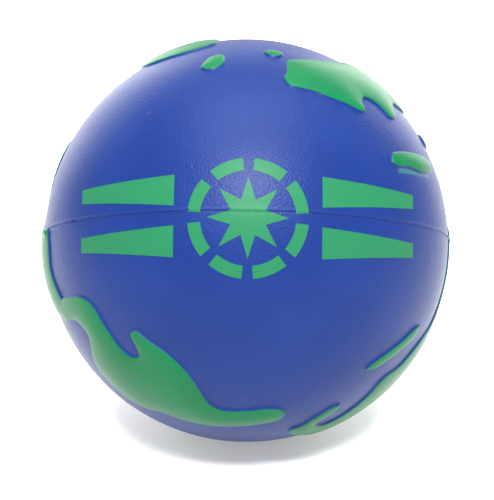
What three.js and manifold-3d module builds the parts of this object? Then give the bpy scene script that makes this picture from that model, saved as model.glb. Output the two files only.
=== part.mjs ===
// A globe-shaped stress ball, lying at rest with its south pole up and its poles' axis tilted.
// Units are millimetres and +Z is up. The origin is the centre of the small flat on which the ball rests.
//
// The ball is one squeezable moulding of soft foam. It is built here as what lies inside and on it: a cellular
// core, the two dense skins that formed against the two halves of the mould, the thin flash between them at
// the equator, and the raised land pads with painted tops.
import * as THREE from 'three';
import { mergeVertices } from 'three/addons/utils/BufferGeometryUtils.js';
import Module from 'manifold-3d';

// Driving dimensions, in millimetres.
const OCEAN_RADIUS = 31;
const SKIN_THICKNESS = 1.2;
const LAND_RELIEF = 0.65;
const FLASH_THICKNESS = 0.3;
const FLASH_PROUD = 0.1;
const SETTLING = 0.2; // how far the ball's own weight flattens the spot it lies on
const CLEARANCE = 0.3; // between neighbouring pieces

// How the globe lies, in degrees.
const SOUTH_POLE_TILT_BACK = 27.25;
const SOUTH_POLE_TILT_RIGHT = 0.9;
const MERIDIAN_IN_FRONT = -166.1;

// Fineness of the faceted surfaces.
const COAST_STEP = 1.8;
const SPHERE_DETAIL = 8;
const SKIN_SEGMENTS = 48;
const SKIN_RINGS = 12;
const FLASH_SEGMENTS = 72;

const landRadius = OCEAN_RADIUS + LAND_RELIEF;
const landSeatRadius = OCEAN_RADIUS + CLEARANCE;
const skinInnerRadius = OCEAN_RADIUS - SKIN_THICKNESS;
const coreRadius = skinInnerRadius - CLEARANCE;
const skinRimHeight = FLASH_THICKNESS / 2 + CLEARANCE;
const centreHeight = landRadius - SETTLING;

const wasm = await Module();
wasm.setup();

const oceanBlue = new THREE.MeshStandardMaterial({ color: 0x3d56a6, roughness: 0.42, metalness: 0 });
const landGreen = new THREE.MeshStandardMaterial({ color: 0x34a063, roughness: 0.38, metalness: 0 });
const foamBlue = new THREE.MeshStandardMaterial({ color: 0x7f8fc4, roughness: 0.95, metalness: 0 });

// The globe's own frame has its north pole on +Z and longitude 0 on +X. One group tilts the poles' axis,
// and the group inside it stands the globe on its north pole and turns the Pacific to the front.
const ball = new THREE.Group();
const tilt = new THREE.Group();
tilt.position.z = centreHeight;
tilt.rotation.set(
  -THREE.MathUtils.degToRad(SOUTH_POLE_TILT_BACK),
  THREE.MathUtils.degToRad(SOUTH_POLE_TILT_RIGHT),
  0,
  'YXZ',
);
const globe = new THREE.Group();
globe.rotation.set(Math.PI, 0, THREE.MathUtils.degToRad(MERIDIAN_IN_FRONT - 90), 'ZYX');
ball.add(tilt);
tilt.add(globe);
ball.updateMatrixWorld(true);

function addPiece(name, geometry, material) {
  const piece = new THREE.Mesh(geometry, material);
  piece.name = name;
  globe.add(piece);
}

function solidFrom(geometry) {
  geometry.deleteAttribute('normal');
  geometry.deleteAttribute('uv');
  const welded = mergeVertices(geometry);
  return new wasm.Manifold(new wasm.Mesh({
    numProp: 3,
    vertProperties: new Float32Array(welded.attributes.position.array),
    triVerts: new Uint32Array(welded.index.array),
  }));
}

function geometryFrom(solid) {
  const mesh = solid.getMesh();
  const geometry = new THREE.BufferGeometry();
  geometry.setAttribute('position', new THREE.BufferAttribute(mesh.vertProperties, 3));
  geometry.setIndex(new THREE.BufferAttribute(mesh.triVerts, 1));
  geometry.computeVertexNormals();
  return geometry;
}

// A profile is drawn as radius and height, and turned about the poles' axis.
function turnedAboutPoles(profile, segments) {
  const geometry = new THREE.LatheGeometry(profile, segments);
  geometry.rotateX(Math.PI / 2);
  return geometry;
}

function arc(radius, fromAngle, toAngle, steps) {
  const points = [];
  for (let step = 0; step <= steps; step += 1) {
    const angle = THREE.MathUtils.lerp(fromAngle, toAngle, step / steps);
    points.push(new THREE.Vector2(radius * Math.cos(angle), radius * Math.sin(angle)));
  }
  return points;
}

// Foam core: an open-celled ball that fills the skins.
addPiece('foam_core', new THREE.IcosahedronGeometry(coreRadius, SPHERE_DETAIL - 2), foamBlue);

// Skins: two cups of dense foam, each from its pole to just short of the equator. A pole's points lie
// exactly on the axis, so that the turned surface closes.
function skinCup(side) {
  const outerRim = Math.asin(skinRimHeight / OCEAN_RADIUS);
  const innerRim = Math.asin(skinRimHeight / skinInnerRadius);
  const inside = arc(skinInnerRadius, Math.PI / 2, innerRim, SKIN_RINGS);
  const outside = arc(OCEAN_RADIUS, outerRim, Math.PI / 2, SKIN_RINGS);
  inside[0].x = 0;
  outside[SKIN_RINGS].x = 0;
  const profile = [...inside, ...outside];
  if (side < 0) {
    profile.forEach((point) => { point.y = -point.y; });
    profile.reverse();
  }
  return turnedAboutPoles(profile, SKIN_SEGMENTS);
}

addPiece('southern_skin', skinCup(-1), oceanBlue);
addPiece('northern_skin', skinCup(1), oceanBlue);

// Parting flash: the thin web left where the halves of the mould met, a little proud of the skins.
const flashInner = skinInnerRadius;
const flashOuter = OCEAN_RADIUS + FLASH_PROUD;
const flashHalf = FLASH_THICKNESS / 2;
const flashProfile = [
  new THREE.Vector2(flashInner, -flashHalf),
  new THREE.Vector2(flashOuter, -flashHalf),
  new THREE.Vector2(flashOuter, flashHalf),
  new THREE.Vector2(flashInner, flashHalf),
  new THREE.Vector2(flashInner, -flashHalf),
];
addPiece('parting_flash', turnedAboutPoles(flashProfile, FLASH_SEGMENTS), oceanBlue);

// Land pads. Each outline is a list of places, as latitude and longitude in degrees, joined by a smooth
// closed curve. A pad is what a cone over that outline, from the globe's centre, takes from a round shell.
function directionTo([latitude, longitude]) {
  const up = THREE.MathUtils.degToRad(latitude);
  const round = THREE.MathUtils.degToRad(longitude);
  return new THREE.Vector3(Math.cos(up) * Math.cos(round), Math.cos(up) * Math.sin(round), Math.sin(up));
}

function coneOver(outline) {
  const places = outline.map((place) => directionTo(place).multiplyScalar(landRadius));
  const coast = new THREE.CatmullRomCurve3(places, true, 'centripetal');
  const rim = coast.getSpacedPoints(Math.ceil(coast.getLength() / COAST_STEP));
  rim.pop();
  const middle = new THREE.Vector3();
  rim.forEach((point) => middle.add(point));
  middle.normalize();
  const across = new THREE.Vector3(0, 0, 1).cross(middle).normalize();
  const along = middle.clone().cross(across);
  const reach = landRadius * 1.1;
  let flat = rim.map((point) => {
    const spread = reach / point.dot(middle);
    return new THREE.Vector2(point.dot(across) * spread, point.dot(along) * spread);
  });
  if (THREE.ShapeUtils.isClockWise(flat)) flat = flat.reverse();
  const corners = [0, 0, 0];
  flat.forEach((point) => {
    const corner = middle.clone().multiplyScalar(reach);
    corner.addScaledVector(across, point.x).addScaledVector(along, point.y);
    corners.push(corner.x, corner.y, corner.z);
  });
  const faces = [];
  THREE.ShapeUtils.triangulateShape(flat, []).forEach(([a, b, c]) => faces.push(a + 1, b + 1, c + 1));
  flat.forEach((point, index) => faces.push(0, ((index + 1) % flat.length) + 1, index + 1));
  const geometry = new THREE.BufferGeometry();
  geometry.setAttribute('position', new THREE.Float32BufferAttribute(corners, 3));
  geometry.setIndex(faces);
  return solidFrom(geometry);
}

const landShell = solidFrom(new THREE.IcosahedronGeometry(landRadius, SPHERE_DETAIL)).subtract(
  solidFrom(new THREE.IcosahedronGeometry(landSeatRadius, SPHERE_DETAIL)),
);

// What the ball lies on: everything below the plane through the origin.
const floorSize = landRadius * 3;
const floorBlock = new THREE.BoxGeometry(floorSize, floorSize, floorSize);
floorBlock.translate(0, 0, -floorSize / 2);
floorBlock.applyMatrix4(globe.matrixWorld.clone().invert());
const floor = solidFrom(floorBlock);

function addLand(name, ...outlines) {
  let land = coneOver(outlines[0]);
  outlines.slice(1).forEach((outline) => { land = land.add(coneOver(outline)); });
  addPiece(name, geometryFrom(land.intersect(landShell).subtract(floor)), landGreen);
}

const NORTH_AMERICA = [
  [20, -99], [19.5, -109], [20, -114.5], [22, -118], [25, -119.5], [28.5, -121], [32, -122.5], [35, -124],
  [37, -126], [37.5, -128], [37, -130], [34.5, -130.5], [31, -130], [29, -131], [30.5, -133.5], [33, -136.5],
  [35.5, -140], [39, -143.5], [44.5, -147], [49.5, -149], [53.5, -150.5], [56, -153.5], [57, -158.5],
  [56.5, -168.5], [55.5, -177.5], [56, 177], [58.5, 173.5], [61, 175], [63.5, -175.5], [65, -162.5],
  [65, -145.5], [63, -133.5], [60.5, -125.5], [57.5, -118.5], [57, -112.5], [54.5, -106.5], [52, -104],
  [49, -102], [46, -102.5], [42, -101.5], [37.5, -104], [34, -107.5], [31, -110], [28, -109], [25.5, -105],
  [26, -98.5], [23, -95],
];

const SOUTH_AMERICA = [
  [22, -103], [19.5, -101], [16, -98.5], [11.5, -96.5], [7, -97], [2.5, -97], [0, -94.5], [-2, -88],
  [-4, -80.5], [-8, -79], [-13, -80.5], [-18, -83], [-23, -84.5], [-28, -83.5], [-31, -79], [-37, -77],
  [-44, -79], [-51, -77], [-54, -71], [-52, -66], [-45, -63], [-38, -57], [-32, -51], [-24, -45], [-17, -38],
  [-8, -35], [-1, -40], [4, -49], [9, -58], [12, -68], [15, -78], [20, -86], [24, -93],
];

const EURASIA = [
  [70, 156], [68, 160], [66, 158], [64, 155], [60, 154], [56.5, 151], [54, 149], [53.5, 146.5], [55, 145],
  [58.5, 145], [61, 147], [63.5, 146], [64.5, 141], [64.5, 135.5], [62, 131], [58.5, 130], [54, 130.5],
  [49, 131], [45, 132.5], [42, 131.5], [40, 128], [38, 125.5], [34, 123], [30, 120], [26, 115.5], [22, 112],
  [18, 110], [13, 109.5], [8, 110], [3, 110], [-1, 110.5], [-4, 109], [-5, 106.5], [-3.5, 103.5],
  [2, 101.5], [8, 101], [13, 101], [16, 98.5], [19, 94.5], [20, 87], [14, 81], [8, 78], [14, 74.5], [21, 71],
  [25, 62], [23, 59], [16, 52], [13, 46], [20, 41], [29, 36.5], [33, 35.5], [37, 35], [37, 28], [41, 27],
  [40, 23], [36.5, 22.5], [41, 19], [44.5, 14.5], [38, 16.5], [43, 10], [43.5, 5], [38, -1], [38, -9],
  [43.5, -9], [44, -2], [49, -3], [53.5, 5], [56.5, 3], [61, -1.5], [67, -1], [71, 10], [71.5, 28], [67, 42],
  [69.5, 60], [71, 78], [73, 98], [72.5, 116], [72, 130], [71.5, 143],
];

const AFRICA = [
  [34, -6.5], [35.5, 3], [35, 10.5], [31, 16], [31, 27], [30, 32], [22, 36], [15, 38.5], [11, 43], [11.5, 50.5],
  [4, 47.5], [-3, 41], [-10, 39.5], [-16, 39.5], [-24, 35], [-29, 32], [-34, 26], [-34.5, 19], [-28, 16],
  [-18, 12], [-8, 13], [-1, 9.5], [4, 9], [5, 2], [4.5, -7], [8.5, -13], [15, -17], [22, -16.5], [28, -12],
];

const ANTARCTICA = [
  [-61, -80], [-57, -93], [-53.5, -105], [-52, -114], [-53, -122], [-55.5, -134], [-59, -142.5], [-61.5, -146],
  [-65, -145], [-71, -138], [-77, -126], [-82, -110], [-86, 150], [-80, 120], [-72, 105],
  [-67, 85], [-67, 60], [-69, 35], [-70, 10], [-73, -10], [-78, -30], [-78, -50], [-73, -62], [-66, -66],
  [-60, -73],
];

const AUSTRALIA = [
  [-48.5, 178.5], [-50, 171], [-51, 163], [-52.5, 152], [-56, 140], [-57.5, 129], [-54, 118], [-46, 114],
  [-39, 117], [-37, 125], [-38, 134], [-34, 139], [-30, 143.5], [-33.5, 147], [-36.5, 152], [-35.5, 155],
  [-32.5, 156.5], [-29.5, 157], [-31, 160.5], [-33.5, 169], [-35.5, 175], [-36, -180], [-38, -177.5],
  [-43, -179.5],
];

const GREENLAND = [
  [59, -45], [64, -50], [69, -52.5], [73, -53], [76, -48], [77.5, -35], [77, -22], [71.5, -19], [66, -32],
  [60, -40],
];

addLand('americas_pad', NORTH_AMERICA, SOUTH_AMERICA);
addLand('eurasia_pad', EURASIA);
addLand('africa_pad', AFRICA);
addLand('antarctica_pad', ANTARCTICA);
addLand('australia_pad', AUSTRALIA);
addLand('greenland_pad', GREENLAND);

const islands = {
  new_guinea_pad: [
    [-18, 151.5], [-19.5, 146], [-20, 140], [-20, 132], [-18, 128.5], [-16, 132.5], [-15, 140], [-15.5, 145],
    [-15, 151], [-16, 152.5],
  ],
  japan_pad: [
    [40, 148.5], [38, 147], [35.5, 144], [32.5, 140], [29.5, 136], [26.5, 132.5], [25.5, 130],
    [27.5, 129.5], [30.5, 131.5], [33.5, 135.5], [36.5, 139.5], [39.5, 144.5],
  ],
  new_zealand_pad: [
    [-44, -148.5], [-47, -148.5], [-50, -150.5], [-51.5, -153], [-50, -155.5], [-47, -156],
    [-44.5, -155.5], [-43, -152],
  ],
  tasmania_pad: [[-53.5, -172.5], [-54.5, -177], [-52.5, 179.5], [-50, -176]],
  timor_pad: [[-30, 118.5], [-29.5, 122], [-27.5, 123], [-26, 121], [-26.5, 117], [-28.5, 114.5]],
  sumatra_pad: [[4, 87], [1, 92.5], [-5, 98.5], [-9, 99], [-6, 93], [-1, 87.5]],
  madagascar_pad: [[-12, 49.5], [-16, 51], [-25, 48], [-25.5, 44.5], [-19, 44.5], [-15, 46.5]],
  british_isles_pad: [[50.5, -8], [52, -3.5], [56, -4], [58.5, -6.5], [58, -11], [54, -12.5]],
  iceland_pad: [[63.5, -20], [64, -15], [66, -14.5], [67, -19], [66, -24.5], [64, -24]],
  newfoundland_pad: [[49.5, -63.5], [51, -68], [54.5, -69], [57.5, -66], [58, -61], [54, -57], [50, -58]],
  cuba_pad: [[26, -68], [25, -62], [22, -56.5], [20.5, -58.5], [22.5, -64], [24, -69]],
};
Object.entries(islands).forEach(([name, outline]) => addLand(name, outline));

export default ball;
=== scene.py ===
import math

import bpy
import numpy as np
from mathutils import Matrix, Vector, noise
from mathutils.geometry import delaunay_2d_cdt


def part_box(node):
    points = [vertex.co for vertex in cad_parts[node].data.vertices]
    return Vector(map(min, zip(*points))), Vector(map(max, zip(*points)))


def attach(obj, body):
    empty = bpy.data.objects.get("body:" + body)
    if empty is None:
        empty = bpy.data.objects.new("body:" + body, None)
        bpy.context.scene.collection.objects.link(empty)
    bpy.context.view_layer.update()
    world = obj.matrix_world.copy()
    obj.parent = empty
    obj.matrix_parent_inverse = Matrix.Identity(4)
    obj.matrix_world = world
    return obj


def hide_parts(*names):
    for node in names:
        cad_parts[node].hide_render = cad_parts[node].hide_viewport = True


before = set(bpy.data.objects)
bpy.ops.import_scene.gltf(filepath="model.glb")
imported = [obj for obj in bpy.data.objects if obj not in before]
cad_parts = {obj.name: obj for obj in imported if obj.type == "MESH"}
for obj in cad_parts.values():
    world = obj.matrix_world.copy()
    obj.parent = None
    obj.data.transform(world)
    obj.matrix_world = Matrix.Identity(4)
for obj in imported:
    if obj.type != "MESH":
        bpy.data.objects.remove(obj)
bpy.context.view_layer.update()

# ---------------------------------------------------------------------------------------------------------
# Skins. Two cups of dense, self-skinned polyurethane foam with a satin face, one from each half of the
# mould, in one moulding with the core. The upper half's cavity was a little larger, so its rim flares and
# stands proud of the lower one along the seam.

# The ring of flash at the parting line gives the ball's centre and the axis through its poles; the south
# pole is the one that points up. Lengths are in millimetres from that centre, and finished meshes in metres.
MM = 0.001


def corners_of(node):
    return np.array([list(vertex.co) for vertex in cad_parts[node].data.vertices]) / MM


centre = (np.array(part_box("parting_flash")[0]) + np.array(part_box("parting_flash")[1])) / 2 / MM
south = np.linalg.svd(corners_of("parting_flash") - centre, full_matrices=False)[2][2]
south = south if south[2] > 0 else -south
front = np.array([0.0, -1.0, 0.0]) + south * south[1]
front = front / np.linalg.norm(front)
right = np.cross(south, front)
ocean_radius = np.linalg.norm(corners_of("southern_skin") - centre, axis=1).max()


def towards(azimuth, height):
    """Directions at an angle to the right of the printed side and an angle above the parting line."""
    azimuth, height = np.radians(azimuth), np.radians(height)
    level = np.outer(np.sin(azimuth), right) + np.outer(np.cos(azimuth), front)
    return level * np.cos(height).reshape(-1, 1) + np.outer(np.sin(height), south)


def unit(spots):
    return spots / np.linalg.norm(spots, axis=-1, keepdims=True)


def new_piece(name, spots, faces):
    """A smooth-shaded mesh from places measured in millimetres from the ball's centre."""
    mesh = bpy.data.meshes.new(name)
    mesh.from_pydata(((spots + centre) * MM).tolist(), [], faces)
    mesh.validate()
    mesh.shade_smooth()
    piece = bpy.data.objects.new(name, mesh)
    bpy.context.collection.objects.link(piece)
    return piece


SKIN_WALL = 1.2
RIM_GAP = 0.012
UPPER_FLARE, UPPER_FLARE_REACH = 0.04, 1.8
BEAD, BEAD_ABOVE, BEAD_REACH = 0.08, 0.2, 0.14
LOWER_TUCK, LOWER_TUCK_REACH = 0.035, 0.16
WANDER, WANDER_RATE = 0.07, 7  # how far the parting line strays up or down, and how quickly
LUMPS = ((0.035, 0.085), (0.012, 0.24), (0.003, 0.9))  # height in mm, and lumps per mm
RIM_DEEP = 0.35
AROUND, UPWARD, UPWARD_INSIDE = 320, 70, 14  # the steps of the mesh, round the ball and from seam to pole
LAST_ROW, LAST_ROW_INSIDE = 89.2, 88  # where the rows of the mesh stop short of the pole, in degrees


def lumps(directions):
    """The slow unevenness of a moulded foam surface, in millimetres."""
    total = np.zeros(len(directions))
    for height, rate in LUMPS:
        spots = directions * ocean_radius * rate
        total += height * np.array([noise.noise(Vector(spot)) for spot in spots])
    return total


def wander(azimuths):
    """How far the parting line lies above the ball's equator, in millimetres, round the ball."""
    turns = np.radians(azimuths)
    spots = [(math.cos(a) * WANDER_RATE, math.sin(a) * WANDER_RATE, 1) for a in turns]
    return WANDER * np.array([noise.noise(Vector(spot)) for spot in spots])


def above_seam(directions):
    """The height of each direction above the parting line, in millimetres."""
    azimuths = np.degrees(np.arctan2(directions @ right, directions @ front))
    return directions @ south * ocean_radius - wander(azimuths)


def ocean_height(directions):
    """How far the bare skin stands off its nominal ball."""
    above = above_seam(directions)
    flare = UPPER_FLARE * np.exp(-np.maximum(above, 0) / UPPER_FLARE_REACH)
    flare += BEAD * np.exp(-(((above - BEAD_ABOVE) / BEAD_REACH) ** 2))
    tuck = -LOWER_TUCK * np.exp(-((above / LOWER_TUCK_REACH) ** 2))
    return lumps(directions) + np.where(above > 0, flare, tuck)


def skin_cup(name, side):
    """A cup from its pole to the seam: the outer face, the rim, and the plain inner face."""
    near_seam = [0.0, 0.04, 0.09, 0.14, 0.19, 0.25, 0.32, 0.42, 0.56, 0.75, 1.0, 1.35, 1.8, 2.4]
    heights = [math.degrees((RIM_GAP + offset) / ocean_radius) for offset in near_seam]
    heights += list(np.linspace(heights[-1], LAST_ROW, UPWARD)[1:])
    azimuths = np.linspace(0, 360, AROUND, endpoint=False)
    stray = np.degrees(wander(azimuths) / ocean_radius)
    spots, faces = [], []
    for height in reversed(heights):
        ways = towards(azimuths, side * height + stray * math.exp(-height))
        spots.append(ways * (ocean_radius + ocean_height(ways)).reshape(-1, 1))
    inner = ocean_radius - SKIN_WALL
    rim = towards(azimuths, side * heights[0] + stray)
    spots.append(rim * (ocean_radius - RIM_DEEP))
    for height in np.linspace(heights[0], LAST_ROW_INSIDE, UPWARD_INSIDE):
        spots.append(towards(azimuths, np.full(AROUND, side * height)) * inner)
    rows = len(spots)
    pole = side * south * (ocean_radius + lumps(np.array([side * south]))[0])
    spots = np.vstack(spots + [pole.reshape(1, 3), (side * south * inner).reshape(1, 3)])
    turn = (lambda face: face) if side > 0 else (lambda face: face[::-1])
    for row in range(rows - 1):
        for step in range(AROUND):
            after = (step + 1) % AROUND
            here, below = row * AROUND, (row + 1) * AROUND
            faces.append(turn([here + step, below + step, below + after, here + after]))
    for step in range(AROUND):
        after = (step + 1) % AROUND
        last = (rows - 1) * AROUND
        faces.append(turn([rows * AROUND, step, after]))
        faces.append(turn([last + step, rows * AROUND + 1, last + after]))
    return new_piece(name, spots, faces)


class Wire:
    """A value that runs through a material's nodes. Arithmetic on it adds Math nodes."""

    def __init__(self, finish, socket):
        self.finish, self.socket = finish, socket

    def math(self, operation, *others):
        inputs = dict(enumerate((self,) + others))
        return self.finish.node("ShaderNodeMath", {"operation": operation}, inputs)

    def __add__(self, other):
        return self.math("ADD", other)

    def __sub__(self, other):
        return self.math("SUBTRACT", other)

    def __rsub__(self, other):
        return self.finish.node("ShaderNodeMath", {"operation": "SUBTRACT"}, {0: other, 1: self})

    def __mul__(self, other):
        return self.math("MULTIPLY", other)

    def __truediv__(self, other):
        return self.math("DIVIDE", other)

    __radd__, __rmul__ = __add__, __mul__

    def smooth(self, low, high):
        """0 below low, 1 above high, and a smooth step between them."""
        settings = {"interpolation_type": "SMOOTHSTEP"}
        inputs = {"Value": self, "From Min": low, "From Max": high}
        return self.finish.node("ShaderNodeMapRange", settings, inputs)


class Finish:
    """A material in the making: node() adds a node to it and joins up that node's sockets."""

    def __init__(self, name):
        self.material = bpy.data.materials.new(name)
        self.material.use_nodes = True
        self.tree = self.material.node_tree
        self.shader = self.tree.nodes["Principled BSDF"]

    def node(self, kind, settings, inputs, output=0):
        made = self.tree.nodes.new(kind)
        for setting, value in settings.items():
            setattr(made, setting, value)
        for socket, value in inputs.items():
            self.join(made.inputs[socket], value)
        return Wire(self, made.outputs[output])

    def join(self, socket, value):
        if isinstance(value, Wire):
            self.tree.links.new(value.socket, socket)
        else:
            socket.default_value = value

    def blend(self, share, first, second):
        """A colour between first and second, by share."""
        return self.node("ShaderNodeMix", {"data_type": "RGBA"}, {0: share, 6: first, 7: second}, 2)

    def spot(self):
        """Where the surface point is, in the ball's own unmoving coordinates, in metres."""
        return self.node("ShaderNodeTexCoord", {}, {}, 3)

    def grain(self, size, detail=2.0, where=None):
        """Even noise from 0 to 1 with lumps of about the given size in millimetres."""
        inputs = {"Vector": where or self.spot(), "Scale": 1 / (size * MM), "Detail": detail}
        return self.node("ShaderNodeTexNoise", {}, inputs)

    def along(self, axis, start=(0, 0, 0)):
        """The distance of the surface point from start, measured along an axis, in millimetres."""
        ends = {0: self.spot(), 1: tuple(start)}
        offset = self.node("ShaderNodeVectorMath", {"operation": "SUBTRACT"}, ends)
        settings = {"operation": "DOT_PRODUCT"}
        return self.node("ShaderNodeVectorMath", settings, {0: offset, 1: tuple(axis)}, 1) / MM

    def mark(self, azimuth, height, length, width, turn=0, deep=3, solid=0.3):
        """1 in the middle of a small oval mark, 0 outside it. Its length lies level, but for turn."""
        middle = towards([azimuth], [height])[0]
        level = unit(np.cross(south, middle))
        upward = np.cross(middle, level)
        turn = math.radians(turn)
        start = (centre + middle * ocean_radius) * MM
        along = self.along(level * math.cos(turn) + upward * math.sin(turn), start) / length
        across = self.along(upward * math.cos(turn) - level * math.sin(turn), start) / width
        depth = self.along(middle, start) / deep
        return 1 - (along * along + across * across + depth * depth).smooth(solid, 1)

    def from_centre(self):
        """The distance of the surface point from the ball's centre, in millimetres."""
        ends = {0: self.spot(), 1: tuple(centre * MM)}
        return self.node("ShaderNodeVectorMath", {"operation": "DISTANCE"}, ends, 1) / MM

    def set(self, **values):
        for name, value in values.items():
            self.join(self.shader.inputs[name.replace("_", " ")], value)

    def bump(self, height, depth):
        """A normal from a height of 0 to 1 that stands for depth in millimetres."""
        return self.node("ShaderNodeBump", {}, {"Height": height, "Distance": depth * MM, "Strength": 1.0})


OCEAN = (0.0044, 0.0158, 0.090, 1)
OCEAN_DEEP = (0.0029, 0.0120, 0.076, 1)


def skin_surface(finish):
    """Colour, roughness and grain of the bare blue skin."""
    cloud = finish.grain(14, 3)
    speckle = finish.grain(0.45, 2)
    colour = finish.blend(cloud.smooth(0.35, 0.65) * 0.6 + speckle * 0.4, OCEAN_DEEP, OCEAN)
    rough = 0.31 + cloud * 0.05 + speckle * 0.08
    fine = finish.grain(0.3, 3)
    return colour, rough, fine


# Bubbles left rings where they met the mould, and nails and handling left nicks and scuffs. Each has an
# azimuth and a height in degrees, and a length, width, turn and depth; the ones less than zero stand up.
SCARS = (
    (-30, 27.5, 0.55, 0.45, 0, -0.7), (-30, 27.5, 0.32, 0.26, 0, 1.0),
    (-15, 11.5, 0.50, 0.42, 0, -0.7), (-15, 11.5, 0.30, 0.24, 0, 1.0),
    (10.5, -44, 1.2, 0.16, 10, 0.8), (35.5, 26.5, 0.9, 0.12, 35, 0.7), (39.5, 18, 0.8, 0.12, -25, 0.7),
    (58, 1.5, 0.16, 0.7, 5, 1.0), (65, 1.5, 0.2, 0.9, 10, 1.2), (58, -17, 0.2, 0.8, 0, 0.7),
    (-61, -9, 0.3, 0.7, 10, 0.5), (-38, -21, 0.5, 0.14, 30, 0.6), (21, -31, 0.7, 0.13, -15, 0.6),
    (118, 14, 0.9, 0.15, 20, 0.8), (-120, -24, 0.5, 0.4, 0, -0.8), (170, 40, 1.1, 0.14, -30, 0.8),
    (96, -33, 0.6, 0.15, 50, 0.7), (-151, 22, 0.45, 0.4, 0, -0.7),
)
SCAR_RELIEF = 1.1

# A faint band of green overspray crosses the bare skin. Each pair says where an edge of it fades, above the
# ball's centre or to the right of it.
SPRAY = (0.02, 0.11, 0.075, 1)
SPRAY_SHARE, SPRAY_SLOPE, SPRAY_RAGGED = 0.5, -0.10, 0.8
SPRAY_BOTTOM, SPRAY_TOP = (4.85, 5.05), (5.6, 5.85)
SPRAY_LEFT, SPRAY_RIGHT = (20.9, 21.5), (26.2, 27.0)
SKIN_GRAIN = 0.06

skin_finish = Finish("satin blue foam skin")
colour, rough, fine = skin_surface(skin_finish)
relief_map = fine
for azimuth, height, length, width, turn, depth in SCARS:
    relief_map = relief_map - skin_finish.mark(azimuth, height, length, width, turn) * (depth * SCAR_RELIEF)
above = skin_finish.along(south, centre * MM) + skin_finish.along(right, centre * MM) * SPRAY_SLOPE
sideways = skin_finish.along(right, centre * MM) + skin_finish.grain(0.7) * SPRAY_RAGGED
spray = above.smooth(*SPRAY_BOTTOM) * (1 - above.smooth(*SPRAY_TOP)) * sideways.smooth(*SPRAY_LEFT)
spray = spray * (1 - sideways.smooth(*SPRAY_RIGHT)) * skin_finish.along(front, centre * MM).smooth(0, 1)
skin_finish.set(Base_Color=skin_finish.blend(spray * SPRAY_SHARE, colour, SPRAY), Roughness=rough)
skin_finish.set(Normal=skin_finish.bump(relief_map, SKIN_GRAIN), Specular_IOR_Level=0.085)

for name, side in (("southern_skin", 1), ("northern_skin", -1)):
    cup = skin_cup(name + "_fine", side)
    cup.data.materials.append(skin_finish.material)
    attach(cup, "root")
    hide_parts(name)

# ---------------------------------------------------------------------------------------------------------
# Parting flash. A thin, uneven fin of foam that squeezed out between the halves of the mould. It stands in
# the step under the upper rim, with nibs where it tore when the ball came out. Each nib has a place in
# degrees, and a height and a width.
FLASH_HALF = 0.05  # half its thickness
FLASH_STEPS = 1080
RAGGED, RAGGED_RATE = 0.04, 22
NIBS = ((-52, 0.34, 0.45), (-55, 0.12, 0.3), (37, 0.16, 0.5), (74, 0.2, 0.6), (152, 0.2, 1.0))
NIB_FATTER = 7


def nib_height(azimuths):
    """How much a nib adds at each azimuth, in millimetres."""
    height = np.zeros(len(azimuths))
    for place, tall, width in NIBS:
        apart = (azimuths - place + 180) % 360 - 180
        height = height + tall * np.exp(-((apart / width) ** 2))
    return height


def flash_height(azimuths):
    """How far the fin's edge stands out of the ball, in millimetres."""
    turns = np.radians(azimuths)
    spots = [(math.cos(a) * RAGGED_RATE, math.sin(a) * RAGGED_RATE, 5) for a in turns]
    ragged = np.array([noise.noise(Vector(spot)) for spot in spots])
    return RAGGED / 2 + RAGGED * ragged + nib_height(azimuths)


azimuths = np.linspace(0, 360, FLASH_STEPS, endpoint=False)
edge = ocean_radius + flash_height(azimuths)
ways = towards(azimuths, np.degrees(wander(azimuths) / ocean_radius))
section = [(-0.5, -1.0), (-0.10, -1.0), (-0.03, -0.75), (0.0, 0.0), (-0.03, 0.75), (-0.10, 1.0), (-0.5, 1.0)]
thick = (FLASH_HALF * (1 + NIB_FATTER * nib_height(azimuths))).reshape(-1, 1)
rows = [ways * (edge + out).reshape(-1, 1) + south * (thick * up) for out, up in section]
faces = []
for row in range(len(section)):
    for step in range(FLASH_STEPS):
        here, there = row * FLASH_STEPS, (row + 1) % len(section) * FLASH_STEPS
        after = (step + 1) % FLASH_STEPS
        faces.append([here + step, here + after, there + after, there + step])
flash = new_piece("parting_flash_fine", np.vstack(rows), faces)
flash.data.materials.append(skin_finish.material)
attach(flash, "root")
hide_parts("parting_flash")

# ---------------------------------------------------------------------------------------------------------
# Land pads. Raised parts of the skin with sloping blue sides and rounded shoulders, and green paint rolled
# over their tops. Each follows the outline of its CAD solid, and the parting line runs on across it.
COAST_STEP = 0.3
RINGS = (-0.25, -0.21, -0.16, -0.11, -0.06, -0.01, 0.04, 0.09, 0.15, 0.24, 0.4, 0.7, 1.1)
FOOT, SHOULDER = -0.24, 0.14
EDGE_SHARE, CROWN = 0.42, 1.7  # the steep edge's share of the relief, and how far inland the rest rises
RIDGE, RIDGE_REACH, LAND_FLARE = 0.06, 0.1, 0.05  # the parting line's fin and upper lip on the land
TEAR_AT, TEAR_TALL, TEAR_WIDE = (-71, -0.6), 0.45, 0.5  # a torn nib where that line crosses the land
SKIRT, SKIRT_SLOPE = -0.31, 1.2
LAND = (0.0015, 0.082, 0.028, 1)
LAND_DEEP = (0.0010, 0.065, 0.022, 1)
SPECK = (0.006, 0.07, 0.03, 1)
SPECKS = ((20, 42.5), (21, 37.5), (36.5, 42), (47, 42), (-27, -47), (-33, -30))
PAINT_FROM = 0.32  # the share of the relief above which the green paint covers
PAINT_WORN, PAINT_GRAIN = 0.4, 0.035
OUTER_FACE = 0.62  # the share of the relief above which a corner is on the solid's outer face
STRAIGHT = 2.5  # an outline's corner that turns by less, in degrees, isn't one of its turning points
FIELD_STEP, FIELD_FROM = 1.1, 0.6
SEAM_BENDS, SEAM_STEP = (-0.4, -0.17, 0, 0.17, 0.4), 0.6  # millimetres from the seam, and degrees along it
UNDERSIDE = -0.35
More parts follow.
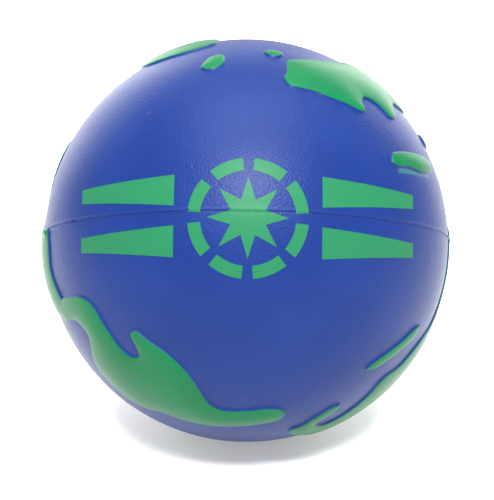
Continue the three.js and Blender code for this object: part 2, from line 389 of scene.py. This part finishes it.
relief = np.linalg.norm(corners_of("americas_pad") - centre, axis=1).max() - ocean_radius


def outline_of(node):
    """The edge of the outer face of a pad's solid, as directions round it, anticlockwise from outside."""
    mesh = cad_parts[node].data
    spots = corners_of(node) - centre
    keys = [tuple(spot) for spot in np.round(spots, 3)]
    outer = np.linalg.norm(spots, axis=1) > ocean_radius + OUTER_FACE * relief
    following = {}
    for polygon in mesh.polygons:
        ring = [keys[corner] for corner in polygon.vertices]
        if all(outer[corner] for corner in polygon.vertices):
            for here, there in zip(ring, ring[1:] + ring[:1]):
                following[(here, there)] = True
    edges = {here: there for here, there in following if (there, here) not in following}
    loops = []
    while edges:
        here = next(iter(edges))
        loop = []
        while here in edges:
            loop.append(here)
            here = edges.pop(here)
        loops.append(loop)
    return unit(np.array(max(loops, key=len)))


def rounded(loop):
    """A smooth closed curve through the turning points of a loop of directions, in even short steps."""
    ahead, behind = np.roll(loop, -1, axis=0) - loop, loop - np.roll(loop, 1, axis=0)
    turn = (unit(ahead) * unit(behind)).sum(axis=1)
    points = loop[turn < math.cos(math.radians(STRAIGHT))] * ocean_radius
    knots = [np.roll(points, shift, axis=0) for shift in (1, 0, -1, -2)]
    times = [np.zeros(len(points))]
    for first, second in zip(knots, knots[1:]):
        times.append(times[-1] + np.sqrt(np.linalg.norm(second - first, axis=1)))
    curve = []
    for index in range(len(points)):
        p = [knot[index] for knot in knots]
        t = [time[index] for time in times]
        steps = max(1, round(np.linalg.norm(p[2] - p[1]) / COAST_STEP))
        for at in np.linspace(t[1], t[2], steps, endpoint=False):
            level = [((t[i + 1] - at) * p[i] + (at - t[i]) * p[i + 1]) / (t[i + 1] - t[i]) for i in range(3)]
            earlier = ((t[2] - at) * level[0] + (at - t[0]) * level[1]) / (t[2] - t[0])
            later = ((t[3] - at) * level[1] + (at - t[1]) * level[2]) / (t[3] - t[1])
            curve.append(((t[2] - at) * earlier + (at - t[1]) * later) / (t[2] - t[1]))
    return unit(np.array(curve))


def inland(directions, coast, inward, at_once=400):
    """The distance of each direction from the coast, in millimetres, less than zero out at sea."""
    starts = coast * ocean_radius
    runs = np.roll(starts, -1, axis=0) - starts
    lengths = (runs * runs).sum(axis=1)
    result = np.empty(len(directions))
    for first in range(0, len(directions), at_once):
        spots = directions[first : first + at_once] * ocean_radius
        offset = spots[:, None, :] - starts[None, :, :]
        share = np.clip((offset * runs).sum(axis=2) / lengths, 0, 1)
        offset -= share[:, :, None] * runs
        apart = np.linalg.norm(offset, axis=2)
        nearest = apart.argmin(axis=1)
        rows = np.arange(len(spots))
        side = (offset[rows, nearest] * inward[nearest]).sum(axis=1)
        result[first : first + at_once] = np.where(side < 0, -1, 1) * apart[rows, nearest]
    return result


def pad_height(directions, depth):
    """The pad's face above the nominal ball, from how far inland each place is."""
    share = np.clip((depth - FOOT) / (SHOULDER - FOOT), 0, 1)
    edge = EDGE_SHARE * share * share * (3 - 2 * share)
    crown = (1 - EDGE_SHARE) * (1 - np.exp(-np.maximum(depth, 0) / CROWN))
    above = above_seam(directions)
    ridge = RIDGE * np.exp(-((above / RIDGE_REACH) ** 2))
    ridge += np.where(above > 0, LAND_FLARE * np.exp(-np.maximum(above, 0) / UPPER_FLARE_REACH), 0)
    apart = np.linalg.norm(directions - towards([TEAR_AT[0]], [TEAR_AT[1]]), axis=1) * ocean_radius
    ridge += TEAR_TALL * np.exp(-((apart / TEAR_WIDE) ** 2))
    sunk = np.where(depth < FOOT, (depth - FOOT) * SKIRT_SLOPE, 0)
    return relief * (edge + crown) + ridge * share + sunk + lumps(directions)


def filled(boundary, inner, middle, across, along):
    """Triangles over the inside of a boundary of directions, through the inner directions too."""
    both = np.vstack([boundary, inner]) if len(inner) else boundary
    scale = 1 + both @ middle
    flat = np.stack([both @ across / scale, both @ along / scale], axis=1) * 2 * ocean_radius
    count = len(boundary)
    edges = [(index, (index + 1) % count) for index in range(count)]
    points, _, faces, origins, _, _ = delaunay_2d_cdt([Vector(p) for p in flat], edges, [], 1, 1e-5)
    flat = np.array([list(point) for point in points]) / (2 * ocean_radius)
    square = (flat * flat).sum(axis=1).reshape(-1, 1)
    ways = (2 * (flat[:, :1] * across + flat[:, 1:] * along) + (1 - square) * middle) / (1 + square)
    place = {source: index for index, sources in enumerate(origins) for source in sources}
    return ways, faces, [place[index] for index in range(count)]


def land_piece(name, node):
    """A pad's fine mesh: its face, its plain underside inside the skin, and the skirt that joins them."""
    coast = rounded(outline_of(node))
    middle = unit(coast.sum(axis=0))
    across = unit(np.cross(south if abs(middle @ south) < 0.9 else front, middle))
    along = np.cross(middle, across)
    inward = unit(np.cross(coast, np.roll(coast, -1, axis=0) - np.roll(coast, 1, axis=0)))
    rings = []
    for number, offset in enumerate((SKIRT,) + RINGS):
        ring = unit(coast * ocean_radius + inward * offset)
        depth = inland(ring, coast, inward)
        ring = ring[np.abs(depth) > abs(offset) - 0.015]
        rings.append(ring if offset < 0.3 else ring[:: 2 if offset < 0.8 else 3])
    boundary = rings.pop(0)
    edge = math.acos(min(1, (coast @ middle).min()))
    reach = int(ocean_radius * 2 * math.tan(edge / 2) / FIELD_STEP) + 2
    grid = [(x + y % 2 / 2, y * 0.87) for x in range(-reach, reach + 1) for y in range(-reach, reach + 1)]
    flat = np.array(grid) * FIELD_STEP / (2 * ocean_radius)
    square = (flat * flat).sum(axis=1).reshape(-1, 1)
    field = (2 * (flat[:, :1] * across + flat[:, 1:] * along) + (1 - square) * middle) / (1 + square)
    field = field[inland(field, coast, inward) > RINGS[-1] + FIELD_FROM]
    places = np.arange(0, 360, SEAM_STEP)
    seam = towards(np.repeat(places, len(SEAM_BENDS)), np.tile(SEAM_BENDS, len(places)))
    seam = seam[inland(seam, coast, inward) > 0.1]
    ways, faces, rim = filled(boundary, np.vstack(rings + [field, seam]), middle, across, along)
    height = pad_height(ways, inland(ways, coast, inward))
    top = ways * (ocean_radius + height).reshape(-1, 1)
    floor = -centre[2]
    top[:, 2] = np.maximum(top[:, 2], floor)
    under_ways, under_faces, under_rim = filled(boundary, field[::5], middle, across, along)
    under = under_ways * (ocean_radius + UNDERSIDE)
    start = len(top)
    faces = [list(face) for face in faces]
    faces += [[start + corner for corner in face[::-1]] for face in under_faces]
    for index, here in enumerate(rim):
        after = (index + 1) % len(rim)
        faces.append([here, start + under_rim[index], start + under_rim[after], rim[after]])
    return new_piece(name, np.vstack([top, under]), faces)


pad_finish = Finish("green paint on blue foam")
colour, rough, fine = skin_surface(pad_finish)
worn = pad_finish.grain(0.8, 4) * 0.25 + pad_finish.grain(7, 2) * 0.75
rise = (pad_finish.from_centre() - ocean_radius) / relief
painted = (rise + (worn - 0.5) * PAINT_WORN).smooth(PAINT_FROM - 0.04, PAINT_FROM + 0.05)
shade = pad_finish.grain(9, 3).smooth(0.3, 0.7) * 0.55 + pad_finish.grain(0.5, 2) * 0.45
green = pad_finish.blend(shade, LAND_DEEP, LAND)
for azimuth, height in SPECKS:
    green = pad_finish.blend(pad_finish.mark(azimuth, height, 0.22, 0.2) * 0.8, green, SPECK)
pad_finish.set(Base_Color=pad_finish.blend(painted, colour, green), Roughness=rough - painted * 0.02)
pad_finish.set(Normal=pad_finish.bump(fine, PAINT_GRAIN), Specular_IOR_Level=0.08)

for node in sorted(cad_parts):
    if node.endswith("_pad"):
        pad = land_piece(node + "_fine", node)
        pad.data.materials.append(pad_finish.material)
        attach(pad, "root")
        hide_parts(node)

# ---------------------------------------------------------------------------------------------------------
# Imprint. A plain emblem, pad-printed across the parting line in light green: a compass star in a broken
# ring, with two tapering bars on each side. It is a film of ink that follows the skin and the seam.
PRINT_TILT = -1.6  # degrees, below the parting line
INK = (0.009, 0.088, 0.038, 1)
INK_DEEP = (0.008, 0.078, 0.033, 1)
INK_THICK, INK_SUNK, INK_GRAIN = 0.03, 0.06, 0.015
PRINT_CELL, PRINT_EDGE = 0.55, 0.4
PRINT_REACH, PRINT_STEP = 50, 0.7  # degrees along the seam
SEAM_LINES = (-0.25, -0.12, -0.06, 0.0, 0.06, 0.12, 0.2, 0.3, 0.5)  # where the film bends over the seam
OVER_FLASH, FLASH_REACH = 0.075, 0.09
STAR_POINTS, STAR_OUT, STAR_IN = 8, 5.4, 2.5
RING_IN, RING_OUT, RING_SPAN, RING_PARTS = 6.3, 8.0, 34, 8
BARS = ((3.7, 9.8, 23.0), (-3.1, 9.8, 23.0))  # middle, inner end, outer end
BAR_TALL, BAR_END = 4.2, 2.0


def emblem():
    """The outlines of the emblem's parts, in millimetres to the right and up, each anticlockwise."""
    turns = [math.pi * step / STAR_POINTS for step in range(2 * STAR_POINTS)]
    parts = [[(r * math.sin(-t), r * math.cos(t)) for t, r in zip(turns, [STAR_OUT, STAR_IN] * STAR_POINTS)]]
    for step in range(RING_PARTS):
        sweep = np.radians((step + 0.5) * 360 / RING_PARTS + np.linspace(-RING_SPAN / 2, RING_SPAN / 2, 9))
        outer = [(RING_OUT * math.cos(t), RING_OUT * math.sin(t)) for t in sweep]
        parts.append(outer + [(RING_IN * math.cos(t), RING_IN * math.sin(t)) for t in sweep[::-1]])
    for mid, near, far in BARS:
        bar = [(near, mid - BAR_TALL / 2), (far, mid - BAR_END / 2)]
        bar += [(far, mid + BAR_END / 2), (near, mid + BAR_TALL / 2)]
        parts.append(bar)
        parts.append([(-x, y) for x, y in reversed(bar)])
    return parts


def onto_ball(flat):
    """Directions of printed places: the pad presses them straight onto the ball."""
    axis = towards([0], [PRINT_TILT])[0]
    upward = np.cross(axis, right)
    flat = np.array(flat) / ocean_radius
    deep = np.sqrt(1 - (flat * flat).sum(axis=1, keepdims=True))
    return flat[:, :1] * right + flat[:, 1:] * upward + deep * axis


ink_spots, ink_faces = [], []
for part in emblem():
    corners = np.array(part)
    outline = []
    for here, there in zip(corners, np.roll(corners, -1, axis=0)):
        steps = max(1, round(np.linalg.norm(there - here) / PRINT_EDGE))
        outline += [here + (there - here) * step / steps for step in range(steps)]
    coast = onto_ball(outline)
    inward = unit(np.cross(coast, np.roll(coast, -1, axis=0) - np.roll(coast, 1, axis=0)))
    low, high = corners.min(axis=0), corners.max(axis=0)
    across_cells, up_cells = (np.arange(low[axis], high[axis], PRINT_CELL) for axis in (0, 1))
    field = onto_ball([(x, y) for x in across_cells for y in up_cells])
    places = np.arange(-PRINT_REACH, PRINT_REACH, PRINT_STEP)
    seam_at = np.repeat(places, len(SEAM_LINES))
    off = np.tile(SEAM_LINES, len(places)) + wander(seam_at)
    seam = towards(seam_at, np.degrees(off / ocean_radius))
    extra = np.vstack([field, seam])
    extra = extra[inland(extra, coast, inward) > 0.05]
    middle = unit(coast.sum(axis=0))
    across = unit(np.cross(south, middle))
    ways, faces, rim = filled(coast, extra, middle, across, np.cross(middle, across))
    over_flash = np.where(np.abs(above_seam(ways)) < FLASH_REACH, OVER_FLASH, -1)
    height = (ocean_radius + np.maximum(ocean_height(ways), over_flash)).reshape(-1, 1)
    start = sum(len(group) for group in ink_spots)
    count = len(ways)
    ink_spots += [ways * (height + INK_THICK), ways * (height - INK_SUNK)]
    for face in faces:
        ink_faces.append([start + corner for corner in face])
        ink_faces.append([start + count + corner for corner in reversed(face)])
    for index, here in enumerate(rim):
        after = rim[(index + 1) % len(rim)]
        ink_faces.append([start + here, start + count + here, start + count + after, start + after])

imprint = new_piece("imprint", np.vstack(ink_spots), ink_faces)
imprint.data.set_sharp_from_angle(angle=math.radians(50))
ink_finish = Finish("light green printing ink")
ink_shade = ink_finish.grain(0.5, 2) * 0.3 + ink_finish.grain(8, 2) * 0.2
ink_finish.set(Base_Color=ink_finish.blend(ink_shade, INK, INK_DEEP), Roughness=0.42)
ink_finish.set(Normal=ink_finish.bump(ink_finish.grain(0.3, 3), INK_GRAIN), Specular_IOR_Level=0.07)
imprint.data.materials.append(ink_finish.material)
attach(imprint, "root")

# ---------------------------------------------------------------------------------------------------------
# Foam core. The open-celled foam that fills the skins and rises as one with them in the mould. It is the
# CAD solid with its own finish, and is seen only where a ball is cut.
CELL_SIZE, CELL_DEPTH = 0.6, 0.2
FOAM = (0.30, 0.36, 0.62, 1)
FOAM_DEEP = (0.12, 0.16, 0.42, 1)

core_finish = Finish("open-celled foam")
voronoi = {"Vector": core_finish.spot(), "Scale": 1 / (CELL_SIZE * MM)}
cells = core_finish.node("ShaderNodeTexVoronoi", {}, voronoi)
core_finish.set(Base_Color=core_finish.blend(cells, FOAM, FOAM_DEEP), Roughness=0.9)
core_finish.set(Normal=core_finish.bump(cells, CELL_DEPTH))
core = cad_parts["foam_core"]
core.data.materials.clear()
core.data.materials.append(core_finish.material)
core.data.shade_smooth()

# ---------------------------------------------------------------------------------------------------------
# Stage: a pale floor, soft studio light and a camera on the printed side.
VIEW_RADII = 6.0
VIEW_HEIGHT = 20.0
FOCAL_SHARE = 2.383  # focal length over the width of the sensor
FLOOR_HALF = 3.0  # metres
AIM = (0.08, 1.45)  # how far to the right of the centre, and below it, the camera points, in mm

floor_mesh = bpy.data.meshes.new("floor")
corners = [(-FLOOR_HALF, -FLOOR_HALF, 0), (FLOOR_HALF, -FLOOR_HALF, 0)]
corners += [(FLOOR_HALF, FLOOR_HALF, 0), (-FLOOR_HALF, FLOOR_HALF, 0)]
floor_mesh.from_pydata(corners, [], [(0, 1, 2, 3)])
floor = bpy.data.objects.new("floor", floor_mesh)
bpy.context.collection.objects.link(floor)
floor_finish = Finish("white sweep")
floor_finish.set(Base_Color=(0.70, 0.70, 0.70, 1), Roughness=0.6, Specular_IOR_Level=0.2)
floor_finish.set(Emission_Color=(1, 1, 1, 1), Emission_Strength=0.30)
floor_mesh.materials.append(floor_finish.material)

middle = Vector(centre * MM)
tilt = math.radians(VIEW_HEIGHT)
back = Vector((0, -math.cos(tilt), math.sin(tilt)))
camera_data = bpy.data.cameras.new("camera")
camera_data.lens = camera_data.sensor_width * FOCAL_SHARE
camera_data.clip_start, camera_data.clip_end = 0.01, 20
camera = bpy.data.objects.new("camera", camera_data)
bpy.context.collection.objects.link(camera)
camera.location = middle + back * (ocean_radius * VIEW_RADII * MM)
aim = middle + Vector((AIM[0], -math.sin(tilt) * AIM[1], -math.cos(tilt) * AIM[1])) * MM
camera.rotation_mode = "QUATERNION"
camera.rotation_quaternion = (aim - camera.location).to_track_quat("-Z", "Y")
bpy.context.scene.camera = camera


def softbox(name, azimuth, elevation, distance, size, power):
    """An area light that faces the ball. Azimuth 0 is the camera's side and 90 is its right."""
    turn, lift = math.radians(azimuth), math.radians(elevation)
    data = bpy.data.lights.new(name, "AREA")
    data.shape, data.size, data.size_y, data.energy = "RECTANGLE", size[0], size[1], power
    lamp = bpy.data.objects.new(name, data)
    bpy.context.collection.objects.link(lamp)
    way = Vector((math.sin(turn) * math.cos(lift), -math.cos(turn) * math.cos(lift), math.sin(lift)))
    lamp.location = middle + way * distance
    lamp.rotation_mode = "QUATERNION"
    lamp.rotation_quaternion = (-way).to_track_quat("-Z", "Y")


softbox("key", 3, 50, 0.7, (0.24, 0.13), 13.0)
softbox("overhead", 0, 86, 0.9, (0.8, 0.8), 16)
softbox("back wall", 180, 28, 0.9, (1.0, 0.4), 2.0)
softbox("left wall", -150, 8, 0.8, (0.5, 0.6), 3.4)
softbox("right wall", 150, 8, 0.8, (0.5, 0.6), 3.0)

world = bpy.data.worlds.new("studio")
world.use_nodes = True
world.node_tree.nodes["Background"].inputs["Color"].default_value = (1, 1, 1, 1)
world.node_tree.nodes["Background"].inputs["Strength"].default_value = 1.0
bpy.context.scene.world = world
bpy.context.scene.view_settings.view_transform = "Standard"
